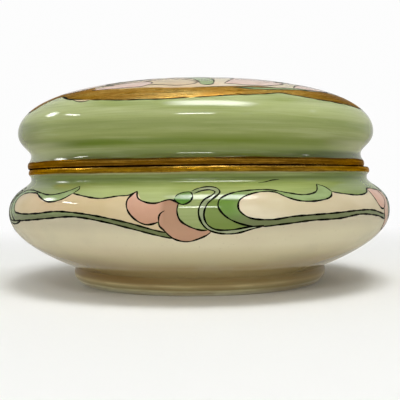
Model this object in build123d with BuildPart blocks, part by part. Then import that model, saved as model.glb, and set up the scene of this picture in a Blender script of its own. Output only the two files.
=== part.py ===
"""Round porcelain trinket box: a bulbous bowl on a foot ring, with a loose domed lid.

Millimetres, +Z up. The origin is the centre of the foot ring's underside. Both pieces of
porcelain are solids of revolution, so their walls are drawn as profiles in the XZ plane,
radius first and height second. The lid lies a little towards -X, as far as the play round
the bowl's locating collar lets it. Each gold band is a thin layer let into the glaze.
"""

import os
from math import asin, cos, degrees, radians, sin

from build123d import *

# Bowl, outside. A reach is the length of a curve's handle, along its tangent.
BELLY_R = 70.0
BELLY_Z = 26.1
BELLY_REACH_DOWN = 8.8
BELLY_REACH_UP = 8.0
WAIST_R = 62.06
WAIST_Z = 37.85
WAIST_REACH = 2.75
RIM_LEAD_REACH = 0.45
SEAT_Z = 41.4
RIM_BEAD_R = 1.6
RIM_BEAD_MAX_R = 62.95
RIM_BEAD_Z = 40.2
RIM_GOLD_FROM = -45.0  # degrees round the bead, below its widest point

# Foot ring
FOOT_BORE_R = 41.4
FOOT_REST_R = 44.2
FOOT_EDGE = 0.95
FOOT_STEP_R = 45.2
FOOT_STEP_Z = 1.2
FOOT_STEP_DEPTH = 0.35
FOOT_BULGE_R = 46.95
FOOT_BULGE_Z = 3.6
FOOT_TOP_R = 46.3
FOOT_TOP_Z = 5.9
FOOT_RECESS = 3.4
FOOT_RECESS_ROUND = 1.2
FLARE_ANGLE = 24.0
FLARE_REACH = 13.3

# Bowl, inside
WALL = 3.5
NECK_REACH = 4.8
SHOULDER_REACH = 9.1
BELLY_INNER_REACH = 7.6
FLARE_INNER_R = 57.3
FLARE_INNER_Z = 14.3
FLOOR_CURVE_R = 45.0
FLOOR_CURVE_Z = 9.2
FLOOR_R = 34.0
FLOOR_Z = 7.4
COLLAR_R = 56.7
COLLAR_WALL = 2.7
COLLAR_HEIGHT = 4.6
COLLAR_OUTER_ROUND = 1.0
COLLAR_INNER_ROUND = 0.8
COLLAR_BORE_Z = 39.4

# Lid
LID_SHIFT = -1.06
LID_WALL = 3.5
LID_BORE_R = 58.2
LID_BORE_TOP_Z = 47.2
LID_BEAD_R = 2.2
LID_BEAD_MAX_R = 62.2
LID_BEAD_Z = 42.65
LID_GOLD_TO = 35.0  # degrees round the bead, above its widest point
LID_WAIST_R = 60.97
LID_WAIST_Z = 46.25
LID_WAIST_REACH_DOWN = 1.15
LID_WAIST_REACH_UP = 2.3
LID_MAX_R = 65.43
LID_MAX_Z = 54.2
LID_MAX_REACH_DOWN = 4.37
LID_INNER_REACH = 3.1
DOME_REACH = 9.58
DOME_CROWN_REACH = 48.94
LID_TOP_Z = 73.34

# Gold
GOLD = 0.12
BORDER_OUTER_R = 62.0
BORDER_INNER_R = 56.3
BORDER_CUSP_OUTER_R = 58.3
BORDER_CUSP_INNER_R = 57.2
BORDER_CUSPS = (-47, 29, 100, 170, 242)  # degrees from the front, towards +X


def bead_angle(centre_z, radius, z):
    """The angle in degrees at which a bead's arc is at height z."""
    return degrees(asin((z - centre_z) / radius))


def on_plan(angle, r):
    """The point at radius r, angle degrees from the front (-Y) towards +X."""
    return (r * sin(radians(angle)), -r * cos(radians(angle)))


def bead_band(centre, radius, start, end):
    """The section of a gold layer of even thickness, let into a bead between two angles."""
    outer = CenterArc(centre, radius, start, end - start)
    inner = CenterArc(centre, radius - GOLD, start, end - start)
    Line(outer @ 0, inner @ 0)
    Line(outer @ 1, inner @ 1)


def dome_outline(inset):
    """The dome from its widest point to its crown, moved inwards by inset."""
    widest = Vector(LID_MAX_R - inset, LID_MAX_Z)
    crown = Vector(0, LID_TOP_Z - inset)
    shoulder = widest + Vector(0, DOME_REACH - 0.4 * inset)
    flank = crown + Vector(DOME_CROWN_REACH - 0.6 * inset, 0)
    return Bezier(widest, shoulder, flank, crown)


def border_outline(cusp_r, lobe_r):
    """A closed ring of arcs, one lobe between each two cusps."""
    for start, end in zip(BORDER_CUSPS, BORDER_CUSPS[1:] + (BORDER_CUSPS[0] + 360,)):
        middle = on_plan((start + end) / 2, lobe_r)
        ThreePointArc(on_plan(start, cusp_r), middle, on_plan(end, cusp_r))


# Worked-out places on the profiles
rim_bead_centre = (RIM_BEAD_MAX_R - RIM_BEAD_R, RIM_BEAD_Z)
rim_bead_top = bead_angle(RIM_BEAD_Z, RIM_BEAD_R, SEAT_Z)
lid_bead_centre = (LID_BEAD_MAX_R - LID_BEAD_R, LID_BEAD_Z)
lid_bead_foot = bead_angle(LID_BEAD_Z, LID_BEAD_R, SEAT_Z)
flare = Vector(cos(radians(FLARE_ANGLE)), sin(radians(FLARE_ANGLE)))
foot_top = Vector(FOOT_TOP_R, FOOT_TOP_Z)
foot_ledge_r = FOOT_STEP_R + FOOT_STEP_DEPTH
belly_inner_r = BELLY_R - WALL
collar_bore_r = COLLAR_R - COLLAR_WALL
collar_z = SEAT_Z + COLLAR_HEIGHT
lid_inner_r = LID_MAX_R - LID_WALL

# Gold on the bowl's rim bead
with BuildPart() as base_rim_gilding:
    with BuildSketch(Plane.XZ):
        with BuildLine():
            bead_band(rim_bead_centre, RIM_BEAD_R, RIM_GOLD_FROM, rim_bead_top)
        make_face()
    revolve(axis=Axis.Z)

# Bowl with its foot ring, seat and locating collar
with BuildPart() as base:
    with BuildSketch(Plane.XZ):
        with BuildLine():
            # underside and foot ring
            Line((0, FOOT_RECESS), (FOOT_BORE_R - FOOT_RECESS_ROUND, FOOT_RECESS))
            RadiusArc((FOOT_BORE_R - FOOT_RECESS_ROUND, FOOT_RECESS),
                      (FOOT_BORE_R, FOOT_RECESS - FOOT_RECESS_ROUND), FOOT_RECESS_ROUND)
            Line((FOOT_BORE_R, FOOT_RECESS - FOOT_RECESS_ROUND), (FOOT_BORE_R, 0))
            Line((FOOT_BORE_R, 0), (FOOT_REST_R, 0))
            RadiusArc((FOOT_REST_R, 0), (FOOT_STEP_R, FOOT_EDGE), -1.05 * FOOT_EDGE)
            Line((FOOT_STEP_R, FOOT_EDGE), (FOOT_STEP_R, FOOT_STEP_Z))
            Line((FOOT_STEP_R, FOOT_STEP_Z), (foot_ledge_r, FOOT_STEP_Z))
            ThreePointArc((foot_ledge_r, FOOT_STEP_Z), (FOOT_BULGE_R, FOOT_BULGE_Z), foot_top)
            # belly
            Bezier(foot_top, foot_top + flare * FLARE_REACH,
                   (BELLY_R, BELLY_Z - BELLY_REACH_DOWN), (BELLY_R, BELLY_Z))
            Bezier((BELLY_R, BELLY_Z), (BELLY_R, BELLY_Z + BELLY_REACH_UP),
                   (WAIST_R, WAIST_Z - WAIST_REACH), (WAIST_R, WAIST_Z))
            # rim bead and seat
            bead = CenterArc(rim_bead_centre, RIM_BEAD_R, RIM_GOLD_FROM, rim_bead_top - RIM_GOLD_FROM)
            Bezier((WAIST_R, WAIST_Z), (WAIST_R, WAIST_Z + RIM_LEAD_REACH),
                   bead @ 0 - bead % 0 * RIM_LEAD_REACH, bead @ 0)
            Line(bead @ 1, (COLLAR_R, SEAT_Z))
            # collar
            Line((COLLAR_R, SEAT_Z), (COLLAR_R, collar_z - COLLAR_OUTER_ROUND))
            RadiusArc((COLLAR_R, collar_z - COLLAR_OUTER_ROUND),
                      (COLLAR_R - COLLAR_OUTER_ROUND, collar_z), -COLLAR_OUTER_ROUND)
            Line((COLLAR_R - COLLAR_OUTER_ROUND, collar_z), (collar_bore_r + COLLAR_INNER_ROUND, collar_z))
            RadiusArc((collar_bore_r + COLLAR_INNER_ROUND, collar_z),
                      (collar_bore_r, collar_z - COLLAR_INNER_ROUND), -COLLAR_INNER_ROUND)
            Line((collar_bore_r, collar_z - COLLAR_INNER_ROUND), (collar_bore_r, COLLAR_BORE_Z))
            # inside of the wall, and floor
            Bezier((collar_bore_r, COLLAR_BORE_Z), (collar_bore_r, COLLAR_BORE_Z - NECK_REACH),
                   (belly_inner_r, BELLY_Z + SHOULDER_REACH), (belly_inner_r, BELLY_Z))
            Bezier((belly_inner_r, BELLY_Z), (belly_inner_r, BELLY_Z - BELLY_INNER_REACH),
                   (FLARE_INNER_R, FLARE_INNER_Z), (FLOOR_CURVE_R, FLOOR_CURVE_Z))
            Bezier((FLOOR_CURVE_R, FLOOR_CURVE_Z), (41.5, 7.75), (38.0, FLOOR_Z), (FLOOR_R, FLOOR_Z))
            Line((FLOOR_R, FLOOR_Z), (0, FLOOR_Z))
            Line((0, FLOOR_Z), (0, FOOT_RECESS))
        make_face()
    revolve(axis=Axis.Z)
    add(base_rim_gilding.part, mode=Mode.SUBTRACT)

# Gold on the lid's rim bead, made on the lid's own axis
with BuildPart() as lid_rim_gilding_centred:
    with BuildSketch(Plane.XZ):
        with BuildLine():
            bead_band(lid_bead_centre, LID_BEAD_R, lid_bead_foot, LID_GOLD_TO)
        make_face()
    revolve(axis=Axis.Z)

# Lobed gold border on the dome: a thin dome-shaped layer, kept where the border's plan covers it
with BuildPart() as lid_top_gilding_centred:
    with BuildSketch(Plane.XZ):
        with BuildLine():
            outside = dome_outline(0)
            inside = dome_outline(GOLD)
            Line(outside @ 0, inside @ 0)
            Line(outside @ 1, inside @ 1)
        make_face()
    revolve(axis=Axis.Z)
    with BuildSketch(Plane.XY.offset(LID_MAX_Z)):
        with BuildLine():
            border_outline(BORDER_CUSP_OUTER_R, BORDER_OUTER_R)
        make_face()
        with BuildLine():
            border_outline(BORDER_CUSP_INNER_R, BORDER_INNER_R)
        make_face(mode=Mode.SUBTRACT)
    extrude(amount=LID_TOP_Z - LID_MAX_Z, mode=Mode.INTERSECT)

# Lid, made on its own axis
with BuildPart() as lid_centred:
    with BuildSketch(Plane.XZ):
        with BuildLine():
            # rim bead, waist and shoulder
            lid_bead = CenterArc(lid_bead_centre, LID_BEAD_R, lid_bead_foot, LID_GOLD_TO - lid_bead_foot)
            Bezier(lid_bead @ 1, lid_bead @ 1 + lid_bead % 1 * LID_WAIST_REACH_DOWN / 2,
                   (LID_WAIST_R, LID_WAIST_Z - LID_WAIST_REACH_DOWN), (LID_WAIST_R, LID_WAIST_Z))
            Bezier((LID_WAIST_R, LID_WAIST_Z), (LID_WAIST_R, LID_WAIST_Z + LID_WAIST_REACH_UP),
                   (LID_MAX_R, LID_MAX_Z - LID_MAX_REACH_DOWN), (LID_MAX_R, LID_MAX_Z))
            # dome, outside and inside
            dome_outline(0)
            Line((0, LID_TOP_Z), (0, LID_TOP_Z - LID_WALL))
            dome_outline(LID_WALL)
            # inside of the shoulder, and bore
            Bezier((lid_inner_r, LID_MAX_Z), (lid_inner_r, LID_MAX_Z - LID_INNER_REACH),
                   (LID_BORE_R, LID_BORE_TOP_Z + LID_INNER_REACH), (LID_BORE_R, LID_BORE_TOP_Z))
            Line((LID_BORE_R, LID_BORE_TOP_Z), (LID_BORE_R, SEAT_Z))
            Line((LID_BORE_R, SEAT_Z), lid_bead @ 0)
        make_face()
    revolve(axis=Axis.Z)
    add(lid_rim_gilding_centred.part, mode=Mode.SUBTRACT)
    add(lid_top_gilding_centred.part, mode=Mode.SUBTRACT)

# The lid and its gold lie against the play, towards -X
with BuildPart() as lid:
    with Locations((LID_SHIFT, 0, 0)):
        add(lid_centred.part)

with BuildPart() as lid_rim_gilding:
    with Locations((LID_SHIFT, 0, 0)):
        add(lid_rim_gilding_centred.part)

with BuildPart() as lid_top_gilding:
    with Locations((LID_SHIFT, 0, 0)):
        add(lid_top_gilding_centred.part)

base.part.label = "base"
base_rim_gilding.part.label = "base_rim_gilding"
lid.part.label = "lid"
lid_rim_gilding.part.label = "lid_rim_gilding"
lid_top_gilding.part.label = "lid_top_gilding"

os.makedirs("parts", exist_ok=True)
for piece in (base, base_rim_gilding, lid, lid_rim_gilding, lid_top_gilding):
    export_step(piece.part, f"parts/{piece.part.label}.step")
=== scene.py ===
"""Looks of the painted porcelain trinket box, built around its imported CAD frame.

Each piece of porcelain is a lathe. Its outer glaze is laid out flat, as a map of polar
coordinates: the angle round the box in degrees from the front, and the distance along the
profile. The painting's outlines are drawn on that map, cut it into regions, and each region
becomes its own thin closed piece with its own material. Pen lines are slim raised strokes.
Lengths are in millimetres until a mesh is made.
"""

import math

import bmesh
import bpy
import numpy as np
from mathutils import Matrix, Vector
from mathutils.geometry import delaunay_2d_cdt
from mathutils.kdtree import KDTree


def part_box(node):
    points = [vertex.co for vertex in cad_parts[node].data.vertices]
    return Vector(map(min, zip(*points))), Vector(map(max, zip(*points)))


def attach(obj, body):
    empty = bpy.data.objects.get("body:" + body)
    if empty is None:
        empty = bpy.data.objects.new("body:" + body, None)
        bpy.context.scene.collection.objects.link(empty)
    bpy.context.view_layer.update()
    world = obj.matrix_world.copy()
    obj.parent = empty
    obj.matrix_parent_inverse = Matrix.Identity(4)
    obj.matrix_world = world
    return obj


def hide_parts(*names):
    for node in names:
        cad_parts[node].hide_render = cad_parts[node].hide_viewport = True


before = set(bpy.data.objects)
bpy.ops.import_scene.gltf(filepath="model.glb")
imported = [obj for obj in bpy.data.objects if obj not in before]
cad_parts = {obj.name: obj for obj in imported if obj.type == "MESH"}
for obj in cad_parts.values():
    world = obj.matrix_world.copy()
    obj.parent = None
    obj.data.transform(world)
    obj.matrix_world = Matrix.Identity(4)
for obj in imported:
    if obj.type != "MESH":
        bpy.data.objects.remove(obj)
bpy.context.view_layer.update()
MM = 0.001

# ------------ sizes taken from the frame
base_low, base_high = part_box("base")
lid_low, lid_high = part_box("lid")
BELLY_R = (base_high.x - base_low.x) / 2 / MM
SEAT_Z = lid_low.z / MM
COLLAR_TOP_Z = base_high.z / MM
LID_X = (lid_low.x + lid_high.x) / 2 / MM
LID_MAX_R = (lid_high.x - lid_low.x) / 2 / MM
LID_TOP_Z = lid_high.z / MM

# The rest of the profiles, as the CAD model has them. A reach is the length of a curve's handle.
FOOT_BORE_R, FOOT_REST_R, FOOT_EDGE = 41.4, 44.2, 1.0
FOOT_STEP, FOOT_BULGE, FOOT_TOP = (45.2, 1.2), (46.95, 3.6), (46.3, 5.9)
RECESS_Z, RECESS_ROUND = 3.4, 1.2
FLARE_ANGLE, FLARE_REACH = 24.0, 13.3
BELLY_Z, BELLY_REACH_DOWN, BELLY_REACH_UP = 26.1, 8.8, 8.0
WAIST_R, WAIST_Z, WAIST_REACH, WAIST_LEAD = 62.06, 37.85, 2.75, 0.45
BOWL_BEAD, BOWL_BEAD_R = (61.35, 40.2), 1.6  # the rim bead's centre and radius
COLLAR_R, COLLAR_BORE_R, COLLAR_BORE_Z = 56.7, 54.0, 39.4
COLLAR_ROUND_OUT, COLLAR_ROUND_IN = 1.0, 0.8
FLOOR, FLOOR_EDGE = (34.0, 7.4), (45.0, 9.2)
LID_BEAD, LID_BEAD_R = (60.0, 42.65), 2.2
LID_WAIST_R, LID_WAIST_Z, LID_WAIST_REACH, LID_WAIST_LEAD = 60.97, 46.25, 2.3, 1.15
LID_MAX_Z, LID_REACH_DOWN, LID_REACH_UP, CROWN_REACH = 54.2, 4.37, 9.58, 48.94
LID_BORE_R, LID_BORE_TOP_Z = 58.2, 47.2
RIM_ROUND = 0.12  # rounding of both rims' edges where they meet
WALL = 3.5

PAINT_DEPTH = 0.04  # how far the paint's surface lies within the CAD surface
RIM_DEPTH = 0.01  # the same on the rims, where the lid rests on the bowl, and on pen strokes
RIM_LAYERS = ("bowl_seat", "bowl_seam", "bowl_rim_gold", "lid_rest", "lid_seam", "lid_rim_gold")
GILDING = {  # the layers of gold, and the CAD node that each stands for
    "bowl_rim_gold": ["base_rim_gilding"],
    "lid_rim_gold": ["lid_rim_gilding"],
    "lid_border_gold": ["lid_top_gilding"],
}
SKIN = 0.3  # thickness of a painted piece
PEN_DEPTH = 0.2  # how far a pen stroke reaches down into the paint
PEN_WIDTH, FINE_PEN_WIDTH = 0.6, 0.45
PEN_TAPER = 1.6  # the length over which a stroke swells from its ends
CORE_GAP = 0.25  # how far the body lies under the CAD surface where paint covers it

# Spacing of the mesh on the map
RING_POINTS = 180  # points round the widest rings
BODY_POINTS = 240  # points round the bodies
GRID_STEP = 1.5  # distance between rings, and between points on the smaller rings
GRID_BEND = 0.14  # radians that the profile may bend between rings
CLEARANCE = 0.3  # how far the rings' points keep from the drawn lines
EDGE_STEP = 1.2  # longest step along an outline
LINE_STEP = 0.8  # longest step along a smooth curve
TINY = 1e-6
TABLE_R = 350.0  # the paper table's radius, where the sweep begins

# Where the gold, and the dark line of grime and painted shade in the seam between the rims, begin and
# end
BOWL_GOLD_LOW_Z = 39.5
BOWL_GOLD_GAP, LID_GOLD_GAP = 0.19, 0.33  # how far each rim's gold stops short of the seam
BOWL_GRIME_AND_SHADE_REACH = 0.6  # how far the dark line of grime and painted shade reaches in over the seat
LID_GRIME_AND_SHADE_INSET = 2.4  # how far the lid's dark line of grime and painted shade stays from the inner edge of its rest
LID_GOLD_FROM_Z, LID_GOLD_REACH = 42.5, 1.45  # from this height, its gold goes this far up the profile

# For the materials and the studio. Lengths here are in metres.
AIM_Z = 0.045  # the height that the lights face
CAMERA_PLACE = (0.00028, -0.2746, 0.03666)
CAMERA_PITCH, CAMERA_ROLL, LENS = -1.46, -0.55, 65.07  # degrees, and the lens in millimetres
LIGHT_DISTANCE = 1.2
PAPER_FADE = (0.12, 0.34)  # how far out the lit paper turns into plain white
GLAZE_SWELL = 0.00002  # depth of the glaze's unevenness
BRUSH_RELIEF = 0.00003  # depth of the brush marks in the gold
STREAK_TILT = 0.4  # but in cells: how far brush marks stray up or down as they run round


# ------------ profiles
def beziers(steps, *points):
    """Cubic curves in a row: every third point is on the line, and the rest are handles."""
    points = np.array(points, float)
    runs = []
    for first, count in zip(range(0, len(points), 3), steps):
        p0, p1, p2, p3 = points[first:first + 4]
        t = np.linspace(0, 1, count)[:, None]
        runs.append((1 - t) ** 3 * p0 + 3 * (1 - t) ** 2 * t * p1 + 3 * (1 - t) * t * t * p2 + t**3 * p3)
    return np.vstack(runs)


def arc(centre, radius, start, end, steps=16):
    a = np.radians(np.linspace(start, end, steps))
    return np.stack([centre[0] + radius * np.cos(a), centre[1] + radius * np.sin(a)], 1)


def arc_through(start, middle, end, steps):
    """The circular arc through three points."""
    a, b, c = (complex(*point) for point in (start, middle, end))
    ratio = (c - a) / (b - a)
    centre = a - (a - b) * (ratio - abs(ratio) ** 2) / (2j * ratio.imag)
    first, last = np.degrees(np.angle([a - centre, c - centre]))
    return arc((centre.real, centre.imag), abs(a - centre), first, last, steps)


def chain(*parts):
    """Joins runs of points into one profile and drops repeated points."""
    points = np.vstack([np.atleast_2d(np.array(p, float)) for p in parts])
    step = np.linalg.norm(np.diff(points, axis=0), axis=1)
    return points[np.concatenate([[True], step > 1e-4])]


def base_outside():
    """From the foot's top, over the belly and the rim bead, to the seat's inner edge."""
    flare = np.radians(FLARE_ANGLE)
    handle = (FOOT_TOP[0] + FLARE_REACH * np.cos(flare), FOOT_TOP[1] + FLARE_REACH * np.sin(flare))
    top = np.degrees(np.arcsin((SEAT_Z - BOWL_BEAD[1]) / BOWL_BEAD_R))
    bead = arc(BOWL_BEAD, BOWL_BEAD_R, -45, top)
    body = beziers((60, 50, 8), FOOT_TOP, handle, (BELLY_R, BELLY_Z - BELLY_REACH_DOWN),
                   (BELLY_R, BELLY_Z), (BELLY_R, BELLY_Z + BELLY_REACH_UP),
                   (WAIST_R, WAIST_Z - WAIST_REACH), (WAIST_R, WAIST_Z),
                   (WAIST_R, WAIST_Z + WAIST_LEAD), bead[0] - (0.32, 0.32), bead[0])
    corner = arc((bead[-1][0] - 0.05, SEAT_Z - RIM_ROUND), RIM_ROUND, top, 90, 5)
    return chain(body, bead[:-1], corner, (COLLAR_R + 0.4, SEAT_Z))


def lid_outside():
    """From the crown, over the dome, waist and rim bead, to the bore's lower edge."""
    foot = np.degrees(np.arcsin((SEAT_Z - LID_BEAD[1]) / LID_BEAD_R))
    bead = arc(LID_BEAD, LID_BEAD_R, 35, foot)
    body = beziers((120, 40, 12), (0, LID_TOP_Z), (CROWN_REACH, LID_TOP_Z),
                   (LID_MAX_R, LID_MAX_Z + LID_REACH_UP), (LID_MAX_R, LID_MAX_Z),
                   (LID_MAX_R, LID_MAX_Z - LID_REACH_DOWN),
                   (LID_WAIST_R, LID_WAIST_Z + LID_WAIST_REACH), (LID_WAIST_R, LID_WAIST_Z),
                   (LID_WAIST_R, LID_WAIST_Z - LID_WAIST_LEAD), bead[0] + (-0.33, 0.47), bead[0])
    corner = arc((bead[-1][0] - 0.1, SEAT_Z + RIM_ROUND), RIM_ROUND, foot, -90, 5)
    return chain(body, bead[:-1], corner, (LID_BORE_R + 0.1, SEAT_Z))


class Lathe:
    """A surface of revolution about a vertical axis at x, and its flat polar map.

    sign is +1 where the profile's outer side lies to the right of its direction, else -1.
    """

    def __init__(self, profile, x, sign, hub):
        self.p = profile
        self.x = x
        self.hub = hub  # the map's radius at the start of the profile
        step = np.linalg.norm(np.diff(profile, axis=0), axis=1)
        self.s = np.concatenate([[0], np.cumsum(step)])
        tangent = np.gradient(profile, self.s, axis=0)
        tangent /= np.linalg.norm(tangent, axis=1)[:, None]
        self.n = np.stack([tangent[:, 1], -tangent[:, 0]], 1) * sign
        self.turn = np.concatenate([[0], np.cumsum(np.linalg.norm(np.diff(tangent, axis=0), axis=1))])

    def s_at_z(self, z, low=0.0):
        """The distance along the profile at height z, beyond a given distance."""
        use = self.s >= low
        order = np.argsort(self.p[use, 1])
        return np.interp(z, self.p[use, 1][order], self.s[use][order])

    def s_at_r(self, r, high):
        """The distance along the profile at radius r, within a given distance."""
        use = self.s <= high
        order = np.argsort(self.p[use, 0])
        return np.interp(r, self.p[use, 0][order], self.s[use][order])

    def to_map(self, angle, s):
        """Points of the map, from degrees round the axis and distances along the profile."""
        a = np.radians(angle)
        rho = np.asarray(s) + self.hub
        return np.stack([rho * np.sin(a), -rho * np.cos(a)], -1)

    def from_map(self, points, lift=0.0):
        """Places in metres and outward normals of points on the map, lifted off the surface."""
        rho = np.hypot(points[:, 0], points[:, 1])
        safe = np.maximum(rho, 1e-9)
        s = rho - self.hub
        r, z = (np.interp(s, self.s, self.p[:, i]) for i in (0, 1))
        nr, nz = (np.interp(s, self.s, self.n[:, i]) for i in (0, 1))
        size = np.hypot(nr, nz)
        nr, nz = nr / size, nz / size
        c, d = points[:, 0] / safe, points[:, 1] / safe
        r, z = r + nr * lift, z + nz * lift
        places = np.stack([self.x + r * c, r * d, z], 1) * MM
        return places, np.stack([nr * c, nr * d, nz], 1)


BASE = Lathe(base_outside(), 0.0, 1, 30.0)
LID = Lathe(lid_outside(), LID_X, -1, 0.0)
BASE_TOP_S = BASE.s_at_z(SEAT_Z - 0.1)
LID_WIDE_S = LID.s_at_r(LID_MAX_R - 0.001, 90.0)


# ------------ drawing on the map
def smooth(points):
    """A centripetal Catmull-Rom curve through points on the map, evenly sampled."""
    p = np.array(points, float)
    p = np.vstack([2 * p[0] - p[1], p, 2 * p[-1] - p[-2]])
    out = []
    for a, b, c, d in zip(p, p[1:], p[2:], p[3:]):
        t1 = np.linalg.norm(b - a) ** 0.5
        t2 = t1 + np.linalg.norm(c - b) ** 0.5
        t3 = t2 + np.linalg.norm(d - c) ** 0.5
        n = max(2, int(np.linalg.norm(c - b) / LINE_STEP) + 1)
        t = np.linspace(t1, t2, n, endpoint=False)[:, None]
        a1 = (t1 - t) / t1 * a + t / t1 * b
        a2 = (t2 - t) / (t2 - t1) * b + (t - t1) / (t2 - t1) * c
        a3 = (t3 - t) / (t3 - t2) * c + (t - t2) / (t3 - t2) * d
        b1 = (t2 - t) / t2 * a1 + t / t2 * a2
        b2 = (t3 - t) / (t3 - t1) * a2 + (t - t1) / (t3 - t1) * a3
        out.append((t2 - t) / (t2 - t1) * b1 + (t - t1) / (t2 - t1) * b2)
    out.append(p[-2:-1])
    return np.vstack(out)


def inside(points, polygon):
    """Which points of the map lie inside a closed polygon."""
    x, y = points[:, 0], points[:, 1]
    hit = np.zeros(len(points), bool)
    for (ax, ay), (bx, by) in zip(polygon, np.roll(polygon, -1, axis=0)):
        if ay == by:
            continue
        crosses = (ay > y) != (by > y)
        hit ^= crosses & (x < (bx - ax) * (y - ay) / (by - ay) + ax)
    return hit


# ------------ pieces
def new_object(name, data):
    made = bpy.data.objects.new(name, data)
    bpy.context.scene.collection.objects.link(made)
    return made


def add_piece(name, mesh, body, materials, stands_for=()):
    obj = new_object(name, mesh)
    for material in materials:
        mesh.materials.append(material)
    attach(obj, body)
    if stands_for:
        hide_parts(*stands_for)


def closed_mesh(name, top, under, normals, faces):
    """A thin closed mesh: faces on top, the same faces underneath, and walls round the edge."""
    n = len(top)
    ways = np.stack([faces, np.roll(faces, -1, axis=1)], 2).reshape(-1, 2).tolist()
    there = set(map(tuple, ways))
    rim = np.array([(a, b) for a, b in ways if (b, a) not in there])
    walls = np.stack([rim[:, 1], rim[:, 0], rim[:, 0] + n, rim[:, 1] + n], 1)
    mesh = bpy.data.meshes.new(name)
    face_list = faces.tolist() + (faces[:, ::-1] + n).tolist() + walls.tolist()
    mesh.from_pydata(np.vstack([top, under]).tolist(), [], face_list)
    mesh.polygons.foreach_set("use_smooth", [True] * len(face_list))
    corners = np.vstack([top, under])[walls]
    out = np.cross(corners[:, 2] - corners[:, 0], corners[:, 3] - corners[:, 1])
    out /= np.maximum(np.linalg.norm(out, axis=1), 1e-12)[:, None]
    per_corner = [normals[faces.ravel()], -normals[faces[:, ::-1].ravel()], np.repeat(out, 4, axis=0)]
    mesh.normals_split_custom_set(np.vstack(per_corner).tolist())
    return mesh


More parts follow.
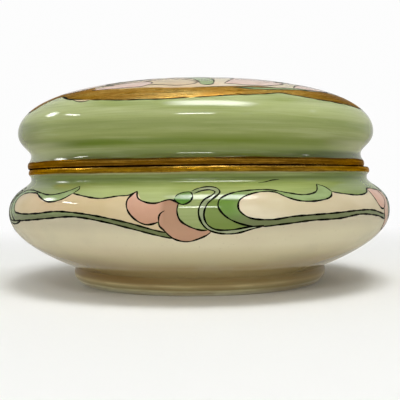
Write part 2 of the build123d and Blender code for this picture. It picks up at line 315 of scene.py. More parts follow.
class Painting:
    """What is painted on one lathe: layers of closed outlines, lowest first, and pen strokes."""

    def __init__(self, lathe):
        self.lathe = lathe
        self.layers = {}
        self.strokes = []

    def fill(self, layer, outline):
        """A closed outline, with points added so that its long edges follow the curved surface."""
        points = []
        for start, end in zip(outline, np.roll(outline, -1, axis=0)):
            count = max(1, math.ceil(np.linalg.norm(end - start) / EDGE_STEP))
            points.append(start + (end - start) * np.arange(count)[:, None] / count)
        self.layers.setdefault(layer, []).append(np.vstack(points))

    def pen(self, layer, line, width):
        """A stroke that lies on a layer: the layers above hide what they cover of it."""
        self.strokes.append((layer, np.array(line), width))

    def ring_stations(self):
        """Distances along the profile, closer together where it curves sharply."""
        measure = self.lathe.s / GRID_STEP + self.lathe.turn / GRID_BEND
        return np.interp(np.linspace(0, measure[-1], int(measure[-1]) + 2), measure, self.lathe.s)

    def grid(self, lines):
        """Rings of points that fill the map, except close to the drawn lines."""
        tree = KDTree(len(lines))
        for i, (x, y) in enumerate(lines):
            tree.insert((x, y, 0), i)
        tree.balance()
        rings = self.ring_stations()
        points = []
        for i, s in enumerate(rings):
            edge = i in (0, len(rings) - 1)
            rho = s + self.lathe.hub
            if rho < TINY:
                points.append((0.0, 0.0))
                continue
            count = min(RING_POINTS, max(6, int(rho * 2 * math.pi / GRID_STEP)))
            turn = 360 / count * 0.5 * (i % 2)
            angles = np.arange(count) * 360 / count + (0 if edge else turn)
            for x, y in self.lathe.to_map(angles, np.full(count, s)):
                if edge or tree.find((x, y, 0))[2] > CLEARANCE:
                    points.append((float(x), float(y)))
        return points

    def regions(self):
        """Cuts the map along every outline and gives each triangle its topmost layer."""
        outlines = [line for lines in self.layers.values() for line in lines]
        points = self.grid(np.vstack(outlines))
        edges = []
        for line in outlines:
            first = len(points)
            points += [(float(x), float(y)) for x, y in line]
            edges += [(first + i, first + (i + 1) % len(line)) for i in range(len(line))]
        cut = delaunay_2d_cdt([Vector(p) for p in points], edges, [], 0, 1e-4)
        verts = np.array([tuple(v) for v in cut[0]])
        tris = np.array(cut[2])
        middle = verts[tris].mean(axis=1)
        rho = np.hypot(*middle.T) - self.lathe.hub
        keep = (rho > 0) & (rho < self.lathe.s[-1])
        tris, middle = tris[keep], middle[keep]
        a, b, c = (verts[tris[:, i]] for i in range(3))
        area = (b[:, 0] - a[:, 0]) * (c[:, 1] - a[:, 1]) - (b[:, 1] - a[:, 1]) * (c[:, 0] - a[:, 0])
        tris[area < 0] = tris[area < 0][:, ::-1]
        owner = np.zeros(len(tris), int)
        for number, lines in enumerate(self.layers.values()):
            for line in lines:
                owner[inside(middle, line)] = number
        return verts, tris, owner

    def make(self, body, looks, pen_name, pen_look):
        """Every layer's piece, and the pen strokes' piece."""
        verts, tris, owner = self.regions()
        if self.lathe is BASE:
            tris = tris[:, ::-1]  # up the bowl is outwards on its map, which mirrors it
        for number, layer in enumerate(self.layers):
            self.skin(layer, verts, tris[owner == number], body, looks[layer])
        self.outlines(pen_name, body, pen_look)

    def skin(self, name, verts, tris, body, material):
        """One layer's triangles as a thin closed piece that follows the lathe."""
        used, tris = np.unique(tris, return_inverse=True)
        tris = tris.reshape(-1, 3)
        depth = RIM_DEPTH if name in RIM_LAYERS else PAINT_DEPTH
        top, normals = self.lathe.from_map(verts[used], -depth)
        under, _ = self.lathe.from_map(verts[used], -depth - SKIN)
        mesh = closed_mesh(name, top, under, normals, tris)
        add_piece(name, mesh, body, [material], GILDING.get(name, ()))

    def visible_runs(self, layer, line):
        """The stretches of a stroke that no higher layer covers."""
        names = list(self.layers)
        hidden = np.zeros(len(line), bool)
        for name in names[names.index(layer) + 1:]:
            for outline in self.layers[name]:
                hidden |= inside(line, outline)
        breaks = np.flatnonzero(np.diff(hidden)) + 1
        runs = zip(np.split(line, breaks), np.split(hidden, breaks))
        return [run for run, out in runs if len(run) > 3 and not out[0]]

    def outlines(self, name, body, look):
        """Every pen stroke as a slim raised ribbon, thicker in the middle of each stroke."""
        tops, unders, normals, faces = [], [], [], []
        count = 0
        for number, (layer, line, width) in enumerate(self.strokes):
            for run in self.visible_runs(layer, line):
                rho = np.maximum(np.hypot(run[:, 0], run[:, 1]), TINY)
                out = run / rho[:, None]
                side = np.stack([-out[:, 1], out[:, 0]], 1)
                r = np.interp(rho - self.lathe.hub, self.lathe.s, self.lathe.p[:, 0])
                way = np.gradient(run, axis=0)
                along = (way * out).sum(1)
                around = (way * side).sum(1) * r / rho
                size = np.maximum(np.hypot(along, around), 1e-9)
                far = np.concatenate([[0], np.cumsum(size[1:])])
                ends = np.clip(np.minimum(far, far[-1] - far) / PEN_TAPER, 0, 1)
                press = 0.85 + 0.2 * np.sin(far * 0.9 + number * 1.7) + 0.12 * np.sin(far * 2.3 + number)
                half = width / 2 * press * (0.35 + 0.65 * np.sqrt(ends))
                shift = -out * (around / size * half)[:, None]
                shift += side * (along / size * half * rho / r)[:, None]
                both = np.vstack([run + shift, run - shift])
                top, normal = self.lathe.from_map(both, -RIM_DEPTH)
                under, _ = self.lathe.from_map(both, -PEN_DEPTH)
                tops.append(top)
                unders.append(under)
                normals.append(normal)
                n = len(run)
                i = np.arange(n - 1)
                quads = np.stack([i + n, i + n + 1, i + 1, i], 1)
                if self.lathe is BASE:
                    quads = quads[:, ::-1]
                faces.append(quads + count)
                count += 2 * n
        mesh = closed_mesh(name, *map(np.vstack, (tops, unders, normals, faces)))
        add_piece(name, mesh, body, [look])


def revolved(name, loop, x, bands):
    """A closed solid of revolution. loop runs from the axis round to the axis; bands gives the
    material number of each stretch of it, as (last point's index, number)."""
    angles = np.linspace(0, 2 * math.pi, BODY_POINTS, endpoint=False)
    mesh = bpy.data.meshes.new(name)
    build = bmesh.new()
    rings = []
    for r, z in loop:
        if r < TINY:
            rings.append([build.verts.new((x * MM, 0, z * MM))] * BODY_POINTS)
        else:
            rings.append([build.verts.new(((x + r * math.sin(a)) * MM, -r * math.cos(a) * MM, z * MM))
                          for a in angles])
    number = 0
    for i, (one, two) in enumerate(zip(rings, rings[1:])):
        while i >= bands[number][0]:
            number += 1
        for j in range(BODY_POINTS):
            k = (j + 1) % BODY_POINTS
            face = build.faces.new(dict.fromkeys([one[j], one[k], two[k], two[j]]))
            face.smooth = True
            face.material_index = bands[number][1]
    bmesh.ops.recalc_face_normals(build, faces=build.faces)
    build.to_mesh(mesh)
    build.free()
    mesh.set_sharp_from_angle(angle=math.radians(38))
    return mesh


# ------------ the bowl's painting
# Five panels go round the bowl. Points are (degrees from the panel's start, height).
PANEL = 72.0
FIRST_PANEL = 4.5

# Each panel is painted by one of two hands. A leaf sweeps round the panel's left end, its
# stem runs under the panel, and its tip curls up into the green ground. "ribbon" is how much
# higher the ribbon of the panel before dips here, and the height at which it meets the stem.
# "lean" is how many degrees further round the flower's top and its bud lie.
RIGHT_HAND = {
    "sweep": [(30, 35.6), (27.5, 33.4), (23, 32.5), (18.3, 33.2), (14, 34.1), (9.5, 34.1), (4, 33.4),
              (0.5, 31.6), (0, 29.5), (1.5, 26.9), (5, 24.6), (10, 23.6), (16, 24.1), (24, 24.9),
              (33, 25.1), (42, 26), (52, 25), (60, 23.4)],
    "back": [(30, 35.6), (32, 34.8), (33, 33.2)],
    "hollow": [(33, 33.2), (31.5, 31.8), (27, 30.7), (21, 30.8), (17.5, 32), (15, 33.4), (12, 33.6),
               (8.5, 33), (5.3, 31.3), (4.8, 28.8), (7, 26.4), (12.5, 25.5), (19, 26.3), (28.6, 26.7),
               (40, 27.2), (48.6, 27), (58.5, 25.2)],
    "brow": [(33, 33.2), (38, 32.4), (44.5, 32), (50, 32.9), (52, 33.9)],
    "petal_low": [(58, 27.3), (56.5, 27.1), (54.6, 27.6), (52.7, 29.6), (51.9, 31.6), (52, 33.9)],
    "petal_top": [(52, 33.9), (54.3, 34), (57, 33.7), (62, 33.2), (65, 32.1), (65.6, 30.6)],
    "keel_end": [(59, 24.6), (58.1, 26), (58, 27.3)],
    "cleft": [(58, 27.3), (59.8, 28.5), (61.3, 30.3), (61.2, 31.8), (60, 33.3)],
    "ground": [(4, 22.2), (7, 23.1), (10, 24.1), (19, 25.3), (31, 25.9), (42, 26.6), (53, 25.6),
               (58, 24.2)],
    "ribbon": (0.0, 23.9),
    "lean": 3.0,
}
LEFT_HAND = {
    "sweep": [(32.5, 35.6), (29.5, 34.1), (24, 33), (17.5, 33.6), (10.5, 34.4), (4, 34.1), (0.5, 32),
              (0, 29.5), (1, 27), (4, 24.6), (9, 24.2), (14, 24.7), (25, 25.7), (35, 26.5), (44, 25.2),
              (52, 23), (61, 20.4)],
    "back": [(32.5, 35.6), (33.2, 34.6), (32.3, 33.5)],
    "hollow": [(32.3, 33.5), (30, 31.9), (26.5, 30.9), (23.5, 31), (19.5, 32.2), (15.7, 33.4),
               (10.7, 33.5), (6.5, 33.1), (4.1, 31.6), (4, 29.3), (5.5, 27.4), (10, 26.8), (20, 27.1),
               (29.6, 28), (40, 27.2), (50, 25.1), (59.5, 22.2)],
    "brow": [(32.3, 33.5), (37, 32.6), (42, 32), (47, 32.7), (50, 33), (51.6, 34.1)],
    "petal_low": [(58, 25.3), (56.6, 24.7), (54.8, 24.5), (52.2, 26), (50.1, 29), (49.8, 31.7),
                  (51.6, 34.1)],
    "petal_top": [(51.6, 34.1), (52.4, 32.1), (54.6, 30.9), (57, 30.6), (60.5, 31.6), (62.6, 30.6)],
    "keel_end": [(59, 23), (58.1, 24.1), (58, 25.3)],
    "cleft": [(58, 25.3), (58, 26.6), (58.4, 27.7), (59.4, 28.5)],
    "ground": [(-0.5, 23.4), (4, 23.7), (7, 23.9), (10, 25.2), (19, 26.1), (31, 27.2), (42, 26.3),
               (52, 23.9), (60, 21.4)],
    "ribbon": (1.3, 24.6),
    "lean": 0.0,
}
# The flower at the panel's right end, its bud, and the ribbon that loops into a ring
PETAL_BACK = [(62.6, 30.6), (62.3, 28.5), (63, 25.8), (65.2, 23.9), (68, 22.8), (70.6, 22.9)]
PETAL_KEEL = [(70.6, 22.9), (69.6, 21.6), (67.4, 20.3), (64.5, 19.4), (61.5, 20.2)]
GROUND_END = [(64.5, 21), (70.3, 22.4)]
BUD_TOP = [(61.4, 31.9), (62.1, 32.9), (63.5, 33.6), (65.4, 33.7), (66, 32.6)]
BUD_LOW = [(66, 32.6), (65.5, 31.2), (63.8, 30.2), (62.3, 30.8), (61.4, 31.9)]
BUD_WAIST = [(61.4, 31.9), (63.5, 32.1), (66, 32.4)]
RIBBON_OUT = [(65.2, 33.7), (67.2, 34.7), (70.2, 35.2), (72.2, 34.7), (72.7, 33.6), (71, 31.9),
              (69.4, 30.2), (68.6, 27.4)]
RIBBON_OUT_DIP = [(69.3, 24.6), (71.3, 23), (75, 22.8)]
RIBBON_IN = [(65.8, 33), (68, 34), (70.2, 34.3), (71.5, 33.7), (70.8, 32.9), (68.6, 31.4), (67.4, 28.8),
             (67.7, 25.8)]
RIBBON_IN_DIP = [(69.3, 23.2), (72, 21.9), (76, 21.7)]
RIM_SCRATCH = [(16.1, 36.15), (18.2, 36.4), (20.5, 36.9), (22.9, 37.15)]


def bowl_panel(art, start, hand, next_hand):
    def line(points):
        points = np.array(points, float)
        return smooth(BASE.to_map(start + points[:, 0], BASE.s_at_z(points[:, 1])))

    lift, end = next_hand["ribbon"]
    lean = hand["lean"]
    one = {name: line(points) for name, points in hand.items() if name not in ("ribbon", "lean")}
    keel = line(PETAL_KEEL + hand["keel_end"])
    low, high = PETAL_BACK[-1][1], PETAL_BACK[0][1]
    back = line([(a + lean * (z - low) / (high - low), z) for a, z in PETAL_BACK])
    out = line(RIBBON_OUT + [(a, z + lift) for a, z in RIBBON_OUT_DIP] + [(79, end - 0.4), (83, end)])
    into = line(RIBBON_IN + [(a, z + lift) for a, z in RIBBON_IN_DIP] + [(80, end - 1), (83, end - 0.1)])
    bud_top, bud_low, bud_waist = (line([(a + lean, z) for a, z in part])
                                   for part in (BUD_TOP, BUD_LOW, BUD_WAIST))

    brow, hollow, sweep, leaf_back = (one[name] for name in ("brow", "hollow", "sweep", "back"))
    top, low_edge = one["petal_top"], one["petal_low"]
    petal = [top, back, keel, low_edge]
    for layer, outline, strokes in (
            ("bowl_cream_panels", [brow, hollow[::-1]], [brow]),
            ("bowl_leaves", [sweep[::-1], leaf_back, hollow], [sweep, leaf_back, hollow]),
            ("bowl_petals", petal, petal + [one["cleft"]]),
            ("bowl_ribbons", [out, into[::-1]], [out, into]),
            ("bowl_buds", [bud_low, bud_waist], [bud_low]),
            ("bowl_bud_tips", [bud_top, bud_waist[::-1]], [bud_top])):
        art.fill(layer, np.vstack(outline))
        for stroke in strokes:
            art.pen(layer, stroke, FINE_PEN_WIDTH if layer == "bowl_bud_tips" else PEN_WIDTH)


def ring(lathe, s_of_angle):
    """A closed line round the axis, from its distance along the profile at each angle."""
    angles = np.arange(0, 360, 1.5)
    return lathe.to_map(angles, s_of_angle(angles))


def circle(lathe, s):
    return ring(lathe, lambda angles: np.full(len(angles), s))


def waver(angles, size, seed):
    """A hand's slow unevenness round a painted edge."""
    a = np.radians(angles)
    slow, middle, quick = np.sin(7 * a + seed), np.sin(17 * a + 2 * seed), np.sin(31 * a + 3 * seed)
    return size * (0.5 * slow + 0.3 * middle + 0.2 * quick)


def through(points):
    """Height at any angle of a closed line through (angle, height) points."""
    angles, heights = np.array(points, float).T
    return lambda at: np.interp(at, angles, heights, period=360)


def paint_bowl():
    art = Painting(BASE)
    art.fill("bowl_seat", circle(BASE, BASE.s[-1] + 1))
    # The seam's dark ring is grime and painted shade in the gap between the rims.
    art.fill("bowl_seam", ring(BASE, lambda a: BASE_TOP_S + BOWL_GRIME_AND_SHADE_REACH + waver(a, 0.12, 2)))
    gold_top = SEAT_Z - BOWL_GOLD_GAP
    art.fill("bowl_rim_gold", ring(BASE, lambda a: BASE.s_at_z(gold_top + waver(a, 0.05, 2))))
    art.fill("bowl_green_ground", ring(BASE, lambda a: BASE.s_at_z(BOWL_GOLD_LOW_Z + waver(a, 0.14, 1))))
    hands = [RIGHT_HAND, RIGHT_HAND, LEFT_HAND, RIGHT_HAND, LEFT_HAND]
    foot_line = through([(angle + PANEL * number, z) for number, hand in enumerate(hands)
                         for angle, z in hand["ground"] + GROUND_END])
    art.fill("bowl_cream_ground", ring(BASE, lambda a: BASE.s_at_z(foot_line(a - FIRST_PANEL))))
    for name in ("bowl_cream_panels", "bowl_leaves", "bowl_petals", "bowl_ribbons", "bowl_bud_tips",
                 "bowl_buds"):
        art.layers[name] = []
    for number, hand in enumerate(hands):
        bowl_panel(art, FIRST_PANEL + PANEL * number, hand, hands[(number + 1) % len(hands)])
    scratch = np.array(RIM_SCRATCH)
    art.pen("bowl_green_ground", smooth(BASE.to_map(scratch[:, 0], BASE.s_at_z(scratch[:, 1]))), 0.35)
    return art


# ------------ the lid's painting
# Points are (degrees from one of the border's cusps, radius). The wreath repeats with the border.
FIRST_CUSP = -46.0
# The border's outer and inner edges: at a wide cusp the gold spreads inwards, at a narrow one it
# almost ends
WIDE_OUT = [(-18, 62.4), (-14, 61.6), (-11, 59.8), (-8, 57.8), (-5, 56.7), (-0.8, 57.9), (3.5, 59.7)]
NARROW_OUT = [(-11, 60.7), (-4.3, 59.9), (0.4, 58.9), (4, 59.9)]
BORDER_OUT = [(12, 61), (24, 61.9), (36, 62.3), (48, 61.8)]
WIDE_IN = [(-18, 54.5), (-14, 52), (-9, 48), (0, 44), (5, 49.5), (8.5, 52.6), (12.9, 54.6)]
NARROW_IN = [(-7, 55), (-4, 54.7), (0.6, 55.2), (4, 55.8), (7.6, 55.9), (11, 56), (14.7, 56.2)]
BORDER_IN = [(21.4, 55.6), (29.3, 55.5), (37.6, 56.5), (44.6, 56.7)]
CUSP_TIP = [(-3.5, 56.8), (-0.8, 57.9), (3.5, 59.6), (6.5, 60.2)]
CRESCENT = [(6.5, 60.3), (8.9, 61.2), (10.9, 61.6), (12.8, 61.6), (14.3, 61.1), (11, 60.9), (6.5, 60.3)]
LEAF_RIGHT = [(48.1, 53.5), (49.7, 54.4), (51.6, 53.7), (52.9, 50.3), (53.2, 45), (51, 38.5), (44, 32),
              (32, 27.5), (14, 25), (-6, 24.8), (-24, 27)]
LEAF_LEFT = [(-24, 27), (-6, 27), (12, 28.2), (27, 31.5), (37, 36.5), (43.5, 42.5), (46.7, 48),
             (48.1, 53.5)]
TOP_FOLD = [(47.4, 51), (45.6, 53), (41.7, 54.4), (38.8, 54.3), (34.6, 53.3), (31, 53), (28.8, 53.7),
            (26.5, 50), (29, 45), (34, 42.5), (41, 45), (47.4, 51)]
TOP_PETAL = [(9, 54.6), (13, 51.5), (20, 48.5), (28, 48), (31, 51), (28.8, 54.2), (22, 54.9), (15, 55),
             (9, 54.6)]
TOP_BLOOM = [(56, 52.6), (59, 48), (63, 42), (64, 37), (59, 31.5), (69, 33.5), (77, 38), (83, 44),
             (81, 49.5), (73, 53.2), (64, 53.9), (56, 52.6)]
TOP_SPRIG = [(58, 56.4), (64.6, 57.4), (71.7, 57.1), (80.3, 56.2), (88, 55.4), (93, 54), (87, 54.3),
             (77, 55.2), (69.3, 55.8), (63, 55.9), (58, 56.4)]
TOP_RIBBON = [(80, 47), (88, 44.5), (95, 40), (97, 35), (92, 32), (86, 33), (84, 37)]
EYE_R = 3.2  # the flower's eye, in the middle of the lid
ROSETTE = [(0, 2.8), (-20, 7), (-14, 12), (4, 14), (18, 10.5), (18, 5.5), (0, 2.8)]


def band(line, half):
    """A closed band along a line on the map, narrowing to both its ends."""
    way = np.gradient(line, axis=0)
    side = np.stack([-way[:, 1], way[:, 0]], 1) / np.linalg.norm(way, axis=1)[:, None]
    along = np.linspace(0.03, 0.97, len(line))
    side *= half * np.sqrt(np.sin(math.pi * along))[:, None]
    return np.vstack([line + side, (line - side)[::-1], (line + side)[:1]])


def paint_lid():
    art = Painting(LID)
    rim_s = LID.s_at_z(LID_GOLD_FROM_Z, LID_WIDE_S)

    def edge(points):
        height = through(points)
        return ring(LID, lambda a: LID.s_at_r(height(a - FIRST_CUSP) + waver(a, 0.15, 4), LID_WIDE_S))

    wide = [True, False, True, False, False]
    outer = edge([(a + PANEL * i, r) for i in range(5)
                  for a, r in (WIDE_OUT if wide[i] else NARROW_OUT) + BORDER_OUT])
    inner = edge([(a + PANEL * i, r) for i in range(5)
                  for a, r in (WIDE_IN if wide[i] else NARROW_IN) + BORDER_IN])
    art.fill("lid_rest", circle(LID, LID.s[-1] + 1))
    # The lid's dark seam ring is grime and painted shade in the gap between the rims.
    art.fill("lid_seam", circle(LID, LID.s[-1] - LID_GRIME_AND_SHADE_INSET))
    gold_edge = SEAT_Z + LID_GOLD_GAP
    art.fill("lid_rim_gold", ring(LID, lambda a: LID.s_at_z(gold_edge + waver(a, 0.05, 5), LID_WIDE_S)))
    art.fill("lid_green_ground", ring(LID, lambda a: rim_s - LID_GOLD_REACH + waver(a, 0.18, 3)))
    art.fill("lid_border_gold", outer)
    art.fill("lid_cream_ground", inner)
    art.pen("lid_border_gold", outer, 0.5)
    art.pen("lid_border_gold", inner, 0.3)
    for name in ("lid_leaves", "lid_petals", "lid_ribbons"):
        art.layers[name] = []
    for number in range(5):
        start = FIRST_CUSP + PANEL * number

        def line(points, pull=0.0):
            points = np.array(points, float)
            return smooth(LID.to_map(start + points[:, 0], LID.s_at_r(points[:, 1] - pull, LID_WIDE_S)))

        leaf = np.vstack([line(LEAF_RIGHT)[:-1], line(LEAF_LEFT)])
        shapes = [("lid_leaves", line(TOP_SPRIG, 5.5 if wide[(number + 1) % 5] else 0)),
                  ("lid_leaves", leaf), ("lid_cream_ground", line(TOP_FOLD)),
                  ("lid_petals", line(TOP_PETAL)), ("lid_petals", line(TOP_BLOOM)),
                  ("lid_petals", line(ROSETTE)), ("lid_ribbons", band(line(TOP_RIBBON), 1.1))]
        for layer, shape in shapes:
            art.fill(layer, shape[:-1])
            art.pen(layer, shape, FINE_PEN_WIDTH)
        if wide[number]:
            art.fill("lid_cream_ground", line(CRESCENT)[:-1])
            art.pen("lid_cream_ground", line(CRESCENT[:5]), 0.4)
            art.pen("lid_border_gold", line(CUSP_TIP), 0.9)
    art.fill("lid_buds", circle(LID, EYE_R))
    art.pen("lid_buds", circle(LID, EYE_R), 0.4)
    return art


# ------------ materials
def colour(r, g, b):
    """An 8-bit sRGB colour as linear RGBA."""
    c = [v / 255 for v in (r, g, b)]
    return tuple(v / 12.92 if v <= 0.04045 else ((v + 0.055) / 1.055) ** 2.4 for v in c) + (1.0,)


def set_stops(ramp, stops):
    """Gives a colour ramp its stops, as (position, linear colour), from the lowest up."""
    elements = ramp.color_ramp.elements
    elements.remove(elements[1])
    elements[0].color = stops[0][1]
    for position, tone in stops[1:]:
        elements.new(position).color = tone


class Look:
    """A material whose colour and relief come from noise in the object's own space.

    Heights and places are given in millimetres, tones as 8-bit sRGB colours.
    """

    def __init__(self, name, roughness, metallic=0.0):
        self.material = bpy.data.materials.new(name)
        self.material.use_nodes = True
        self.tree = self.material.node_tree
        self.bsdf = self.tree.nodes["Principled BSDF"]
        self.surface = self.tree.nodes["Material Output"].inputs["Surface"]
        self.bsdf.inputs["Roughness"].default_value = roughness
        self.bsdf.inputs["Metallic"].default_value = metallic
        self.place = self.node("ShaderNodeTexCoord").outputs["Object"]
        self.x, self.y, self.z = self.node("ShaderNodeSeparateXYZ", self.place).outputs

    def node(self, kind, *inputs, **settings):
        made = self.tree.nodes.new(kind)
        for name, value in settings.items():
            setattr(made, name, value)
        for socket, value in zip(made.inputs, inputs):
            self.plug(socket, value)
        return made

    def plug(self, socket, value):
        if isinstance(value, bpy.types.NodeSocket):
            self.tree.links.new(value, socket)
        elif value is not None:
            socket.default_value = value

    def math(self, operation, *inputs):
        return self.node("ShaderNodeMath", *inputs, operation=operation).outputs[0]

    def times(self, first, *others):
        """The product of any number of factors."""
        for factor in others:
            first = self.math("MULTIPLY", first, factor)
        return first

    def blend_in(self, factor, first, second):
        """second over first, by a factor from 0 to 1."""
        mix = self.node("ShaderNodeMix", data_type="RGBA")
        self.plug(mix.inputs[0], factor)
        self.plug(mix.inputs[6], first)
        self.plug(mix.inputs[7], second)
        return mix.outputs[2]

    def tint(self, base, tone, *factors):
        """A tone over base, by the product of factors from 0 to 1."""
        return self.blend_in(self.times(*factors), base, colour(*tone))

    def between(self, value, low, high):
        """0 at low and 1 at high, smoothly. low may be the greater of the two."""
        inputs = value, low, high, 0.0, 1.0
        return self.node("ShaderNodeMapRange", *inputs, interpolation_type="SMOOTHSTEP").outputs[0]

    def across(self, low, high):
        """The same from left to right."""
        return self.between(self.x, low * MM, high * MM)

    def aside(self, low, high):
        """The same from the middle out to both sides."""
        return self.between(self.math("ABSOLUTE", self.x), low * MM, high * MM)

    def up(self, low, high):
        """The same from the table up."""
        return self.between(self.z, low * MM, high * MM)

    def cloud(self, scale, seed, low=0.35, high=0.65, detail=3.0):
        """Soft blotches, scale to the metre along each axis."""
        shift = (seed * 1.7, seed * 2.3, seed)
        spread = self.node("ShaderNodeMapping", self.place, shift, (0, 0, 0), scale)
        noise = self.node("ShaderNodeTexNoise", spread.outputs[0], None, 1.0, detail)
        return self.between(noise.outputs[0], low, high)

    def streaks(self, around, upward, seed, low=0.35, high=0.65, detail=4.0):
        """Brush marks that run round the box: cells to the radian, and to the metre of height."""
        flat = self.node("ShaderNodeCombineXYZ", self.x, self.y, 0.0).outputs[0]
        way = self.node("ShaderNodeVectorMath", flat, operation="NORMALIZE").outputs[0]
        east, north, _ = self.node("ShaderNodeSeparateXYZ", way).outputs
        rise = self.math("ADD", self.times(self.z, upward), self.times(east, STREAK_TILT))
        place = self.node("ShaderNodeCombineXYZ", self.times(east, around), self.times(north, around),
                          self.math("ADD", rise, seed * 7.3))
        noise = self.node("ShaderNodeTexNoise", place.outputs[0], None, 1.0, detail)
        return self.between(noise.outputs[0], low, high)

    def by_height(self, *stops):
        """A colour that changes with height, through (height, tone) stops."""
        low, high = stops[0][0], stops[-1][0]
        share = self.node("ShaderNodeMapRange", self.z, low * MM, high * MM).outputs[0]
        ramp = self.node("ShaderNodeValToRGB", share)
        set_stops(ramp, [((height - low) / (high - low), colour(*tone)) for height, tone in stops])
        return ramp.outputs[0]

    def brushed(self, seed, base, deep, thin):
        """Paint brushed on in passes round the box: deep where it pools, thin where it was dragged."""
        base = self.tint(base, deep, self.streaks(1.5, 330, seed, 0.45, 0.7), 0.4)
        base = self.tint(base, thin, self.streaks(2.0, 560, seed + 1, 0.48, 0.72), 0.3)
        return self.tint(base, deep, self.streaks(4.0, 2600, seed + 2, 0.35, 0.75, 6.0), 0.25)

    def panel_turn(self):
        """How far round its panel of the bowl's painting a point is, from 0 to 1."""
        turn = self.math("ARCTAN2", self.x, self.times(self.y, -1.0))
        share = self.math("DIVIDE", turn, math.radians(PANEL))
        return self.math("FRACT", self.math("SUBTRACT", share, FIRST_PANEL / PANEL - 5.0))

    def specks(self, scale, size, seed):
        """Sparse small pits and dots, in about one cell in six."""
        spread = self.node("ShaderNodeMapping", self.place, (seed,) * 3, (0, 0, 0), (scale,) * 3)
        cells = self.node("ShaderNodeTexVoronoi", spread.outputs[0])
        near = self.between(cells.outputs["Distance"], size, size * 0.4)
        chance = self.node("ShaderNodeSeparateColor", cells.outputs["Color"]).outputs[0]
        return self.times(near, self.between(chance, 0.82, 0.86))

    def relief(self, height, distance):
        bump = self.node("ShaderNodeBump")
        self.plug(bump.inputs["Strength"], 1.0)
        self.plug(bump.inputs["Distance"], distance)
        self.plug(bump.inputs["Height"], height)
        self.plug(self.bsdf.inputs["Normal"], bump.outputs[0])

    def finish(self, base):
        self.plug(self.bsdf.inputs["Base Color"], base)
        return self.material


def glaze(name, base_of, roughness=0.06, specular=0.55):
    """Painted porcelain under a clear glaze that is very slightly uneven."""
    look = Look(name, roughness)
    look.bsdf.inputs["Specular IOR Level"].default_value = specular
    base = base_of(look)
    look.relief(look.cloud((90, 90, 90), 11, 0.2, 0.8, 1.0), GLAZE_SWELL)
    return look.finish(base)


def mottled(scale, seed, first, second):
    """A colour that drifts between two tones in soft blotches."""
    return lambda look: look.tint(colour(*first), second, look.cloud(scale, seed))


def bowl_green(look):
    # Painted light and shade by height: darkest in the waist under the rim bead, palest on the shoulder
    # that faces up. The greyish edge under the gold is the glaze's own colour.
    base = look.by_height(
        (31, (156, 168, 108)), (34, (168, 180, 114)), (35, (167, 179, 112)), (36.1, (149, 164, 93)),
        (36.9, (126, 140, 72)), (37.7, (99, 114, 45)), (38.4, (132, 146, 79)), (38.8, (135, 146, 84)),
        (39.1, (166, 160, 122)), (39.5, (172, 160, 122)))
    base = look.brushed(1, base, (120, 140, 60), (196, 204, 150))
    turn = look.panel_turn()
    beside = look.times(look.between(turn, 0.35, 0.6), look.between(turn, 0.88, 0.8))
    base = look.tint(base, (204, 212, 150), beside, look.up(36.2, 34.5), look.across(30, -10), 0.35)
    # Painted shade: darker green towards the left and right sides.
    left, right = look.times(look.across(-28, -46), 0.35), look.times(look.across(26, 50), 0.6)
    base = look.tint(base, (94, 116, 40), look.math("ADD", left, right))
    in_ring = look.math("MAXIMUM", look.between(turn, 0.945, 0.965), look.between(turn, 0.13, 0.10))
    return look.tint(base, (114, 136, 58), in_ring, look.up(33.5, 31.5), 0.85)


def lid_green(look):
    # Painted light and shade by height: palest on the dome's top, which faces up, darker on the band
    # below its widest part, which faces down, and darkest in the crease just above the gold.
    base = look.by_height(
        (43.6, (90, 88, 24)), (44.3, (96, 100, 36)), (45.2, (112, 124, 58)), (46.2, (130, 142, 80)),
        (47.3, (142, 155, 88)), (48.7, (118, 134, 56)), (49.7, (140, 153, 83)), (51.5, (158, 168, 104)),
        (53.2, (150, 161, 97)), (54.6, (147, 157, 94)), (56, (163, 172, 110)), (58.3, (176, 185, 126)),
        (64, (184, 193, 137)))
    base = look.brushed(4, base, (116, 134, 50), (190, 194, 150))
    dark_pass = look.times(look.up(47.7, 48.4), look.up(50, 49.2))
    base = look.tint(base, (90, 116, 26), dark_pass, look.across(4, -12), 0.4)
    base = look.tint(base, (142, 152, 92), dark_pass, look.across(12, 30), 0.5)
    # Painted shade: darker high on the dome at its left and right edges.
    left, right = look.times(look.across(-46, -60), 0.65), look.times(look.across(52, 65), 0.3)
    sides = look.math("ADD", right, left)
    base = look.tint(base, (104, 114, 54), sides, look.up(48, 50.5), look.up(57.5, 55.5))
    # Painted light: paler low down at both sides. Painted shade: darker low down at the right, just
    # above the gold.
    base = look.tint(base, (184, 188, 140), look.aside(36, 52), look.up(50.2, 48.8), 0.55)
    base = look.tint(base, (60, 76, 12), look.across(12, 45), look.up(46.8, 45.4), 0.75)
    return look.tint(base, (74, 84, 44), look.specks(900, 0.22, 3))


def cream_body(look):
    # Painted shade by height: darker towards the foot, where the belly turns under, and a little darker
    # again just under the stem.
    base = look.by_height(
        (6, (182, 164, 119)), (7.8, (181, 163, 117)), (10.3, (175, 154, 106)), (12.6, (197, 185, 145)),
        (15.2, (210, 199, 162)), (18, (220, 211, 179)), (21.2, (218, 209, 177)), (24.1, (204, 194, 166)))
    base = look.tint(base, (206, 188, 160), look.cloud((28, 28, 40), 5, 0.45, 0.7), 0.35)
    base = look.tint(base, (190, 184, 158), look.cloud((60, 60, 60), 25, 0.5, 0.7), 0.3)
    # Painted shade: darker and browner low down at both sides.
    base = look.tint(base, (148, 128, 82), look.aside(14, 38), look.up(15.5, 10.5), 0.7)
    return look.tint(base, (120, 104, 74), look.specks(260, 0.2, 9), 0.5)


